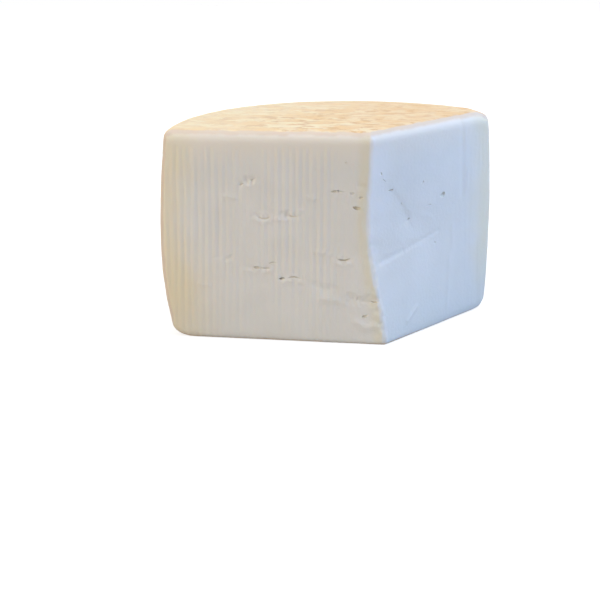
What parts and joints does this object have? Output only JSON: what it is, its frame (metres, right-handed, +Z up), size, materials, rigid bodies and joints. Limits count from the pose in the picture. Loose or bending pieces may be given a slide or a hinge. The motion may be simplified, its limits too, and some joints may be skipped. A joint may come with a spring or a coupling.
{
  "type": "farmer cheese",
  "caption": "Cut block of fresh pressed farmer cheese with a tan rind and two knife-cut faces, standing on its flat base.",
  "frame": {"origin": "middle of the block's bounding box in plan, at the level of its flat base", "axes": "+Z up along the wheel's axis; +Y from the front edge, where the two cuts meet, towards the round side; +X towards the outer edge of the shorter cut, along the longest side"},
  "size_m": [0.199, 0.121, 0.1187],
  "materials": {
    "curd": "matte"
  },
  "bodies": {
    "root": {"cheese": "curd"}
  },
  "joints": []
}
